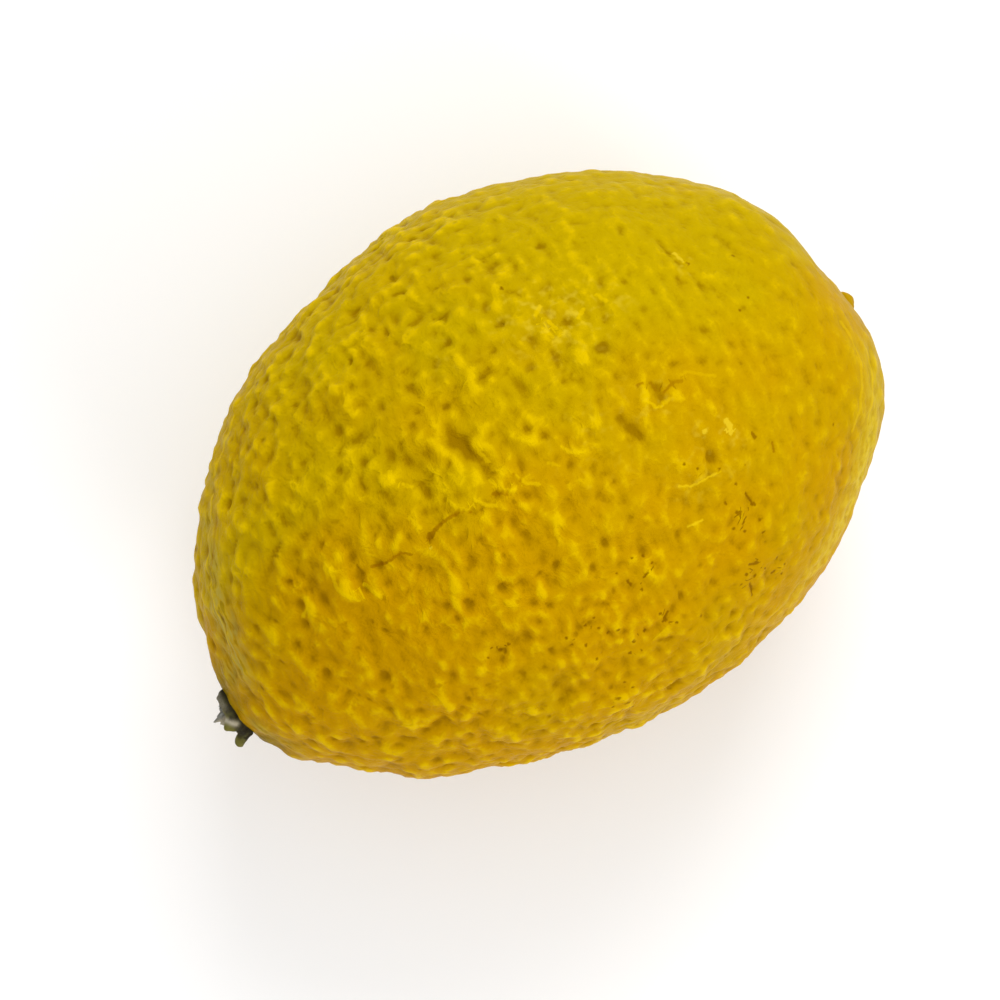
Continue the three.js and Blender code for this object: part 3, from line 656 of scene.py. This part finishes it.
def stacked_rings(profile):
    """Skin over rings of (radius, height, shift along X) by turn, closed at both ends."""
    rings, segments = profile.shape[:2]
    turns = 2 * math.pi * np.arange(segments) / segments
    radius, height, shift = np.moveaxis(profile, -1, 0)
    points = np.stack([shift + radius * np.cos(turns), radius * np.sin(turns), height], axis=-1)
    points = points.reshape(-1, 3)
    corner = np.arange(rings * segments).reshape(rings, segments)
    beside = np.roll(corner, -1, axis=1)
    faces = np.stack([corner[:-1], beside[:-1], beside[1:], corner[1:]], axis=-1).reshape(-1, 4)
    last = len(points) - segments
    caps = [list(corner[0][::-1]), list(range(last, len(points)))]
    return points, [*faces.tolist(), *caps]


def ring_profile(rings, segments):
    """Rings of (radius, height, shift), each a number or one number for every turn."""
    return np.array([
        np.stack([np.broadcast_to(value, segments) for value in ring], axis=-1) for ring in rings
    ])


def make_calyx():
    """Dried button of five sepals round the stalk, each a blunt lobe with wrinkled sides."""
    turns = 2 * math.pi * np.arange(CALYX_TURNS) / CALYX_TURNS
    share = ((1 + np.cos(len(SEPAL_TOPS) * turns)) / 2) ** SEPAL_NARROWNESS
    nearest = np.round(len(SEPAL_TOPS) * turns / (2 * math.pi)).astype(int) % len(SEPAL_TOPS)
    top = CALYX_WALL_TOP + (np.array(SEPAL_TOPS)[nearest] - CALYX_WALL_TOP) * share
    radius = CALYX_RADIUS + np.array(SEPAL_REACHES)[nearest] * share
    lip = (CALYX_RADIUS - CALYX_CUP_RADIUS) / 2
    profile = ring_profile([
        (CAP_RADIUS, -CALYX_ROOT, CALYX_FOOT_SHIFT),
        (radius - lip, -CALYX_ROOT, CALYX_FOOT_SHIFT),
        (radius, 0, CALYX_FOOT_SHIFT),
        (radius, top - lip, 0),
        (radius - lip, top, 0),
        ((CALYX_CUP_RADIUS + radius - lip) / 2, top - lip / 2, CALYX_CUP_SHIFT / 2),
        (CALYX_CUP_RADIUS, CALYX_FLOOR, CALYX_CUP_SHIFT),
        (CAP_RADIUS, CALYX_FLOOR, CALYX_CUP_SHIFT),
    ], CALYX_TURNS)
    points, faces = stacked_rings(rounded(profile, 3))
    outward = points * (1, 1, 0.5)
    outward /= np.maximum(np.linalg.norm(outward, axis=1), 0.5)[:, None]
    wrinkles = wave_height(CALYX_WRINKLES, points)
    points = points + outward * (CALYX_WRINKLE_RISE * wrinkles)[:, None]
    from_cup = np.hypot(points[:, 0] - CALYX_CUP_SHIFT, points[:, 1])
    strip = points * (1, 0, 1)
    fibres = fade(distance_to_line(strip, *FIBRE_STRIP), FIBRE_STRIP_WIDTH)
    looks = {
        "top": points[:, 2],
        "inside": CALYX_CUP_RADIUS + CUP_EDGE - from_cup,
        "upward": -points[:, 0],
        "lobe": np.tile(share, len(points) // CALYX_TURNS),
        "fibre": fibres * smoothstep(points[:, 1], *FIBRE_STRIP_SIDE),
    }
    placed = kept_inside(stem_place(points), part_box("calyx"))
    return add_piece("sepals", placed, faces, looks)


def make_stub():
    """Stub of stalk: fibres side by side, snapped off in long and short splinters."""
    turns = 2 * math.pi * np.arange(STUB_TURNS) / STUB_TURNS
    tops = np.interp(
        turns / (2 * math.pi) * len(SPLINTER_TOPS), np.arange(len(SPLINTER_TOPS) + 1),
        [*SPLINTER_TOPS, SPLINTER_TOPS[0]],
    )
    around = np.stack([np.cos(turns), np.sin(turns), 0 * turns], axis=1)
    fibres = wave_height(FIBRES, around)
    radius = STUB_RADIUS - FIBRE_DEPTH + FIBRE_DEPTH * np.clip(fibres, -1.5, 1)
    tops = tops + FIBRE_JAG * np.minimum(wave_height(JAGS, around), 0)
    foot = CALYX_FLOOR - STUB_ROOT
    rings = [
        (CAP_RADIUS, foot),
        (radius, foot),
        (radius, (foot + tops) / 2),
        (radius, tops - SPLINTER_TIP[1]),
        (radius - SPLINTER_TIP[0], tops),
        (radius - SPLINTER_THICKNESS, (tops + STUB_HOLLOW_TOP) / 2),
        (radius / 2, STUB_HOLLOW_TOP + STUB_HOLLOW_ROUGHNESS * fibres),
        (CAP_RADIUS, STUB_HOLLOW_TOP),
    ]
    profile = ring_profile([(*ring, STUB_SHIFT) for ring in rings], STUB_TURNS)
    points, faces = stacked_rings(rounded(profile, 1))
    from_axis = np.hypot(points[:, 0] - STUB_SHIFT, points[:, 1])
    towards = np.arctan2(points[:, 1], points[:, 0] - STUB_SHIFT)
    torn_side = fade(towards - TORN_TURN, TORN_WIDTH) * TORN_SHARE
    looks = {"inside": np.maximum(radius.mean() - from_axis, torn_side)}
    # Its root, towards +X, stands on the sepals' floor inside their cup, past its node's box.
    placed = kept_inside(stem_place(points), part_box("pedicel_stub"), no_limit=(0,))
    return add_piece("stalk_stub", placed, faces, looks)


peel = make_peel()
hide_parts("fruit")
sepals = make_calyx()
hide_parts("calyx")
stalk_stub = make_stub()
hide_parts("pedicel_stub")

# ---- materials


def add_node(tree, kind, inputs, **settings):
    """A shader node. An input is a value or the socket of another node."""
    node = tree.nodes.new("ShaderNode" + kind)
    for key, value in settings.items():
        setattr(node, key, value)
    for key, value in inputs.items():
        if isinstance(value, bpy.types.NodeSocket):
            tree.links.new(value, node.inputs[key])
        else:
            node.inputs[key].default_value = value
    return node


def maths(tree, operation, *values, clamp=False):
    inputs = dict(enumerate(values))
    return add_node(tree, "Math", inputs, operation=operation, use_clamp=clamp).outputs[0]


def times(tree, one, other, clamp=False):
    return maths(tree, "MULTIPLY", one, other, clamp=clamp)


def plus_times(tree, base, one, other):
    """The base with the product of the other two added."""
    return maths(tree, "MULTIPLY_ADD", one, other, base)


def vector_maths(tree, operation, *values, output="Vector"):
    inputs = dict(enumerate(values))
    return add_node(tree, "VectorMath", inputs, operation=operation).outputs[output]


def attribute(tree, name):
    return add_node(tree, "Attribute", {}, attribute_name=name).outputs["Fac"]


def ramp(tree, value, low, high, to_low=0.0, to_high=1.0):
    """A value carried from the span low..high to the span to_low..to_high, and held there."""
    inputs = {"Value": value, 1: low, 2: high, 3: to_low, 4: to_high}
    return add_node(tree, "MapRange", inputs, interpolation_type="SMOOTHSTEP").outputs["Result"]


def mix(tree, share, first, second):
    """A colour between two, each a triple or a socket."""
    node = add_node(tree, "Mix", {0: share}, data_type="RGBA")
    for place, colour in ((6, first), (7, second)):
        if isinstance(colour, bpy.types.NodeSocket):
            tree.links.new(colour, node.inputs[place])
        else:
            node.inputs[place].default_value = (*colour, 1)
    return node.outputs[2]


def noise(tree, place, wavelength, detail=2.0, roughness=0.5):
    """Noise between 0 and 1 about 0.5, with its largest features of the wavelength in mm."""
    inputs = {"Vector": place, "Scale": 1 / wavelength, "Detail": detail, "Roughness": roughness}
    return add_node(tree, "TexNoise", inputs).outputs["Fac"]


def noise_vector(tree, place, scale, detail):
    """Three unlike noises at once, each between 0 and 1 about 0.5."""
    inputs = {"Vector": place, "Scale": scale, "Detail": detail}
    return add_node(tree, "TexNoise", inputs).outputs["Color"]


def parts_of(tree, colour):
    return add_node(tree, "SeparateColor", {"Color": colour}).outputs


def cell_pattern(tree, place, spacing):
    """Distance from the middle of the nearest cell, and a random draw for that cell."""
    cells = add_node(tree, "TexVoronoi", {"Vector": place, "Scale": 1 / spacing}).outputs
    return cells["Distance"], parts_of(tree, cells["Color"])["Red"]


def about_zero(tree, value):
    return maths(tree, "SUBTRACT", value, 0.5)


def new_material(name):
    material = bpy.data.materials.new(name)
    material.use_nodes = True
    return material, material.node_tree, material.node_tree.nodes["Principled BSDF"]


def place_in_mm(tree):
    coordinates = add_node(tree, "TexCoord", {}).outputs["Object"]
    return vector_maths(tree, "MULTIPLY", coordinates, (1 / MM, 1 / MM, 1 / MM))


def finish_surface(tree, shader, colour, roughness, height):
    """Links a surface to its shader. The height, in millimetres, is a bump."""
    bump = add_node(tree, "Bump", {"Height": height, "Distance": MM, "Strength": 1.0})
    tree.links.new(colour, shader.inputs["Base Color"])
    tree.links.new(roughness, shader.inputs["Roughness"])
    tree.links.new(bump.outputs["Normal"], shader.inputs["Normal"])


# Colours of the peel.
GREENISH = (0.445, 0.305, 0.0)
ORANGE = (0.475, 0.245, 0.0)
# Painted shade in the hollows of the relief.
PAINTED_HOLLOW_SHADE = (0.20, 0.092, 0.0)
# Painted highlight on the ridges of the relief and on the lips of folds.
PAINTED_RIDGE_HIGHLIGHT = (0.74, 0.505, 0.0)
OLIVE = (0.185, 0.123, 0.003)
SPECK = (0.19, 0.078, 0.0)
CRACK = (0.24, 0.085, 0.0)
# Pale scuffs, and a painted sheen in the bloom along the edge.
SCUFF_AND_SHEEN = (0.68, 0.51, 0.035)
# Tan of the dull peel, also a painted sheen along the edge.
TAN_AND_SHEEN = (0.42, 0.315, 0.045)
NUB_TAN = (0.36, 0.17, 0.004)
NUB_TAN_SHARE = 0.35

PEEL_IOR = 1.04
PEEL_SPECULAR_TINT = (1.0, 0.75, 0.03, 1)
PEEL_ROUGHNESS = (0.26, 0.40)
ROUGHNESS_LEFT = 0.55  # share of the small features that is left at the blossom end
DRIFT_REACH = (1.6, 1.6, 1.6)
DRAWN_OUT = (1.0, 0.85, 0.85)  # small features are longer round the fruit than along it
PIT_SPACING = 1.8
PORE_SPACING = 0.95
# How far each feature raises the peel where the painted shade of hollows and the painted
# highlight of ridges are told, and in the bump of its surface.
SHADE_AND_HIGHLIGHT_RISES = {
    "mottle": 0.18, "swell": 0.15, "grain": 0.14, "pit": -0.17, "pore": -0.04, "crease": 0.06,
}
BUMP_RISES = {"pore": -0.03, "pit": -0.12, "crease": 0.05, "grain": 0.04, "mottle": 0.34}
STROKE_RISE = 0.06
DARK_STROKE_SHARE = -0.8  # times the tone of a dark stroke, which is below zero
PALE_STROKE_SHARE = 0.72
FRAY_REACH = 0.4  # a stroke's edge strays by half of this either way

# Colours of the dry sepals and of the broken stalk.
SEPAL_DARK = (0.022, 0.017, 0.004)
SEPAL_OLIVE = (0.085, 0.08, 0.025)
SEPAL_TIP = (0.16, 0.145, 0.022)
SEPAL_DUST = (0.195, 0.175, 0.125)
SEPAL_SHADE = (0.013, 0.009, 0.002)
SEPAL_FIBRE = (0.44, 0.40, 0.30)
STALK_DARK = (0.10, 0.095, 0.075)
STALK_GREY = (0.30, 0.30, 0.27)
STALK_TORN = (0.44, 0.38, 0.26)
DRY_ROUGHNESS = (0.7, 0.95)
DRY_SPECULAR = 0.2


def peel_features(tree, place, rough, blotch):
    """Small features of the peel by name, between 0 and 1 or about zero."""
    drift = noise_vector(tree, place, 0.4, 0.0)
    astray = vector_maths(tree, "MULTIPLY_ADD", drift, DRIFT_REACH, place)
    drawn_out = vector_maths(tree, "MULTIPLY", astray, DRAWN_OUT)

    # Small pits in about half of the cells of one pattern, and pores in all those of a finer one.
    from_middle, draw = cell_pattern(tree, drawn_out, PIT_SPACING)
    pit = times(tree, ramp(tree, from_middle, 0.02, 0.28, 1.0, 0.0), ramp(tree, draw, 0.35, 0.95))
    from_middle, _ = cell_pattern(tree, drawn_out, PORE_SPACING)
    pore = ramp(tree, from_middle, 0.08, 0.36, 1.0, 0.0)

    # Fine folds: the level lines of a noise, in patches.
    crease = maths(tree, "ABSOLUTE", about_zero(tree, noise(tree, drawn_out, 2.6)))
    crease = ramp(tree, crease, 0.0, 0.07, 1.0, 0.0)
    crease = times(tree, crease, ramp(tree, blotch, 0.4, 0.7))

    mottle = about_zero(tree, noise(tree, drawn_out, 1.3, 3.0, 0.6))
    grain = about_zero(tree, noise(tree, place, 0.5, 3.0, 0.75))
    return {
        "pit": times(tree, pit, rough),
        "pore": pore,
        "crease": times(tree, crease, rough),
        "swell": times(tree, about_zero(tree, blotch), rough),
        "mottle": times(tree, mottle, rough),
        "grain": times(tree, grain, ramp(tree, rough, ROUGHNESS_LEFT, 1.0, 1.4, 1.0)),
    }


def with_features(tree, height, features, rises):
    for name, rise in rises.items():
        height = plus_times(tree, height, features[name], rise)
    return height


def with_dull_patches_and_sheen(tree, place, colour, patchy, blotch):
    """Olive round the calyx, and streaks of tan by the stem end and of bloom by the other end,
    the tan and the bloom partly a painted sheen along the edge.
    """
    from_seat = vector_maths(tree, "DISTANCE", place, tuple(SEAT + CORE), output="Value")
    olive = ramp(tree, plus_times(tree, from_seat, patchy, 6.0), 6.0, 14.0, 1.0, 0.0)
    olive = times(tree, olive, ramp(tree, blotch, 0.35, 0.62, 0.15, 0.95))
    colour = mix(tree, olive, colour, OLIVE)
    streak = vector_maths(tree, "MULTIPLY", place, (1.0, 0.22, 1.0))
    streak = noise(tree, streak, 0.8, 2.0, 0.6)
    # The pale tan streaks along the edge are partly a painted sheen.
    share = attribute(tree, "tan_and_sheen_share")
    tan = times(tree, share, ramp(tree, streak, 0.4, 0.6, 0.1, 0.95))
    olive = times(tree, share, ramp(tree, streak, 0.47, 0.37, 0.0, 0.6))
    colour = mix(tree, olive, mix(tree, tan, colour, TAN_AND_SHEEN), OLIVE)
    # Pale bloom streaks along the edge, partly a painted sheen.
    streak = ramp(tree, streak, 0.35, 0.65, 0.2, 0.8)
    return mix(tree, times(tree, attribute(tree, "bloom_and_sheen_share"), streak), colour, SCUFF_AND_SHEEN)


def with_scuffs(tree, place, colour):
    fleck = noise(tree, place, 1.0, 1.0)
    share = attribute(tree, "scuff_share")
    scuff = ramp(tree, plus_times(tree, fleck, share, 0.10), 0.55, 0.85, 0.0, 0.5)
    return mix(tree, times(tree, scuff, share), colour, SCUFF_AND_SHEEN)


def stroke_share(tree, place):
    """One on the thin marks and zero off them, with frayed edges."""
    fray = parts_of(tree, noise_vector(tree, place, 2.2, 1.5))
    along = plus_times(tree, attribute(tree, "stroke_along"), fray["Red"], FRAY_REACH)
    along = maths(tree, "ABSOLUTE", maths(tree, "SUBTRACT", along, FRAY_REACH / 2))
    across = plus_times(tree, attribute(tree, "stroke_across"), fray["Green"], FRAY_REACH)
    across = maths(tree, "SUBTRACT", across, FRAY_REACH / 2)
    beyond = maths(tree, "SUBTRACT", along, attribute(tree, "stroke_half"))
    beyond = maths(tree, "MAXIMUM", beyond, 0.0)
    away = maths(tree, "ADD", times(tree, beyond, beyond), times(tree, across, across))
    outside = maths(tree, "SUBTRACT", maths(tree, "SQRT", away), attribute(tree, "stroke_width"))
    return ramp(tree, outside, -0.04, 0.18, 1.0, 0.0)


def with_strokes(tree, place, colour):
    """The colour with the thin marks on it, and how far they raise the peel."""
    stroke = stroke_share(tree, place)
    tone = attribute(tree, "stroke_tone")
    dark = times(tree, stroke, times(tree, tone, DARK_STROKE_SHARE), clamp=True)
    pale = times(tree, stroke, times(tree, tone, PALE_STROKE_SHARE), clamp=True)
    dark_colour = mix(tree, ramp(tree, tone, -0.95, -0.7), SPECK, CRACK)
    # Pale marks of lower tone are a painted highlight on the lips of folds; the palest are scuffs.
    pale_colour = mix(tree, ramp(tree, tone, 0.75, 0.95), PAINTED_RIDGE_HIGHLIGHT, SCUFF_AND_SHEEN)
    colour = mix(tree, pale, mix(tree, dark, colour, dark_colour), pale_colour)
    return colour, times(tree, maths(tree, "SUBTRACT", pale, dark), STROKE_RISE)


def peel_material():
    material, tree, shader = new_material("lemon_peel")
    place = place_in_mm(tree)
    axes = add_node(tree, "SeparateXYZ", {0: place}).outputs
    rough = ramp(tree, axes["X"], SMOOTH_FROM_X, ROUGH_UNTIL_X, ROUGHNESS_LEFT, 1.0)
    patchy = noise(tree, place, 14.0, 3.0)
    blotch = noise(tree, place, 4.5)

    # Greener towards +Y and the blossom end, warmer towards -Y and the stem end.
    warm = ramp(tree, axes["Y"], -10.0, 20.0, 0.77, 0.14)
    warm = plus_times(tree, warm, axes["X"], -0.005)
    warm = plus_times(tree, warm, about_zero(tree, patchy), 1.3)
    colour = mix(tree, ramp(tree, warm, 0.0, 1.0), GREENISH, ORANGE)

    # Painted shade in the hollows and painted highlight on the ridges, told from the relief.
    features = peel_features(tree, place, rough, blotch)
    height = with_features(tree, attribute(tree, "relief"), features, SHADE_AND_HIGHLIGHT_RISES)
    colour = mix(tree, ramp(tree, height, 0.02, -0.24, 0.0, 0.68), colour, PAINTED_HOLLOW_SHADE)
    colour = mix(tree, ramp(tree, height, 0.0, 0.20, 0.0, 0.6), colour, PAINTED_RIDGE_HIGHLIGHT)

    colour = with_dull_patches_and_sheen(tree, place, colour, patchy, blotch)
    colour = with_scuffs(tree, place, colour)
    colour, height = with_strokes(tree, place, colour)
    colour = mix(tree, times(tree, attribute(tree, "nub"), NUB_TAN_SHARE), colour, NUB_TAN)

    shader.inputs["IOR"].default_value = PEEL_IOR
    shader.inputs["Specular Tint"].default_value = PEEL_SPECULAR_TINT
    roughness = ramp(tree, features["mottle"], -0.2, 0.2, *PEEL_ROUGHNESS)
    height = with_features(tree, height, features, BUMP_RISES)
    finish_surface(tree, shader, colour, roughness, height)
    return material


def sepal_material():
    material, tree, shader = new_material("dried_sepal")
    place = place_in_mm(tree)
    blotch = noise(tree, place, 0.9, 4.0, 0.6)
    fine = noise(tree, place, 0.16, 3.0, 0.7)
    top = attribute(tree, "top")
    upward = attribute(tree, "upward")
    colour = mix(tree, ramp(tree, blotch, 0.35, 0.65), SEPAL_DARK, SEPAL_OLIVE)
    tip = ramp(tree, plus_times(tree, top, blotch, 0.8), 1.3, 2.3)
    colour = mix(tree, times(tree, tip, 0.8), colour, SEPAL_TIP)

    # Grey dust on the sides that face up and inside the cup, shade between and under the lobes.
    dust = times(tree, ramp(tree, upward, 0.2, 1.6), ramp(tree, top, 0.3, 1.1))
    dust = maths(tree, "MAXIMUM", dust, ramp(tree, attribute(tree, "inside"), 0.0, 0.5))
    dust = times(tree, dust, ramp(tree, fine, 0.3, 0.6, 0.4, 0.9))
    colour = mix(tree, dust, colour, SEPAL_DUST)
    between = ramp(tree, attribute(tree, "lobe"), 0.5, 0.1)
    between = times(tree, between, ramp(tree, upward, 0.0, -1.0))
    near_fruit = ramp(tree, plus_times(tree, top, blotch, -0.6), 0.5, -0.1)
    shade = maths(tree, "MAXIMUM", between, near_fruit)
    colour = mix(tree, times(tree, shade, 0.8), colour, SEPAL_SHADE)

    torn = times(tree, attribute(tree, "fibre"), ramp(tree, blotch, 0.3, 0.5, 0.5, 1.0))
    colour = mix(tree, torn, colour, SEPAL_FIBRE)
    shader.inputs["Specular IOR Level"].default_value = DRY_SPECULAR
    height = plus_times(tree, times(tree, fine, 0.05), blotch, 0.10)
    roughness = ramp(tree, fine, 0.3, 0.7, *DRY_ROUGHNESS)
    finish_surface(tree, shader, colour, roughness, height)
    return material


def stalk_material():
    material, tree, shader = new_material("broken_stalk")
    place = place_in_mm(tree)
    drawn_out = vector_maths(tree, "MULTIPLY", place, (0.25, 1.0, 1.0))
    strand = noise(tree, drawn_out, 0.3, 3.0, 0.6)
    blotch = noise(tree, place, 0.9, 3.0, 0.6)
    colour = mix(tree, ramp(tree, strand, 0.3, 0.7), STALK_DARK, STALK_GREY)
    torn = ramp(tree, attribute(tree, "inside"), 0.0, 0.35)
    torn = times(tree, torn, ramp(tree, blotch, 0.3, 0.6, 0.3, 1.0))
    colour = mix(tree, torn, colour, STALK_TORN)
    shader.inputs["Specular IOR Level"].default_value = DRY_SPECULAR
    roughness = ramp(tree, strand, 0.3, 0.7, *DRY_ROUGHNESS)
    finish_surface(tree, shader, colour, roughness, times(tree, strand, 0.10))
    return material


peel.data.materials.append(peel_material())
sepals.data.materials.append(sepal_material())
stalk_stub.data.materials.append(stalk_material())

# ---- camera, light and floor

VIEW_TURN = math.radians(32.44)  # the long axis rises by this angle across the picture
VIEW_DISTANCE = 450.0
PICTURE_WIDTH = 107.7  # at the height of the core
CORE_RIGHT = 3.22  # the core lies this far right of the picture's middle
CORE_UP = 2.70
SENSOR = 36.0
NEAREST_SEEN = 0.01  # metres from the camera

FLOOR_HALF_WIDTH = 4.0  # metres
FLOOR_WHITE = (0.95, 0.95, 0.95, 1)
FLOOR_ROUGHNESS = 0.9
LAMP_SIZE = 260
ROOM_LIGHT = 0.79

picture_right = np.array([math.cos(VIEW_TURN), -math.sin(VIEW_TURN), 0])
picture_up = np.array([math.sin(VIEW_TURN), math.cos(VIEW_TURN), 0])


def add_camera():
    camera = add_object("camera", bpy.data.cameras.new("camera"))
    camera.data.sensor_width = SENSOR
    camera.data.lens = SENSOR * VIEW_DISTANCE / PICTURE_WIDTH
    camera.data.clip_start = NEAREST_SEEN
    eye = CORE - CORE_RIGHT * picture_right - CORE_UP * picture_up
    eye[2] += VIEW_DISTANCE
    camera.location = eye * MM
    camera.rotation_euler = (0, 0, -VIEW_TURN)
    bpy.context.scene.camera = camera


def add_lamp(name, right, up, height, watts):
    """A square lamp over the lemon, placed in millimetres from the core and aimed at it."""
    lamp = add_object(name, bpy.data.lights.new(name, "AREA"))
    lamp.data.shape = "SQUARE"
    lamp.data.size = LAMP_SIZE * MM
    lamp.data.energy = watts
    place = right * picture_right + up * picture_up + np.array([0, 0, height])
    lamp.location = (CORE + place) * MM
    lamp.rotation_euler = Vector(-place).to_track_quat("-Z", "Y").to_euler()


def add_floor():
    mesh = bpy.data.meshes.new("floor")
    corners = [(-1, -1, 0), (1, -1, 0), (1, 1, 0), (-1, 1, 0)]
    mesh.from_pydata(np.array(corners) * FLOOR_HALF_WIDTH, [], [(0, 1, 2, 3)])
    floor = add_object("floor", mesh)
    material, _, shader = new_material("floor")
    shader.inputs["Base Color"].default_value = FLOOR_WHITE
    shader.inputs["Roughness"].default_value = FLOOR_ROUGHNESS
    floor.data.materials.append(material)


def light_room():
    world = bpy.data.worlds.new("studio")
    world.use_nodes = True
    background = world.node_tree.nodes["Background"]
    background.inputs["Color"].default_value = (1, 1, 1, 1)
    background.inputs["Strength"].default_value = ROOM_LIGHT
    bpy.context.scene.world = world
    bpy.context.scene.view_settings.view_transform = "Standard"


add_camera()
add_floor()
add_lamp("key", 60, 350, 330, 1.2)
add_lamp("fill", 260, -290, 280, 0.85)
light_room()
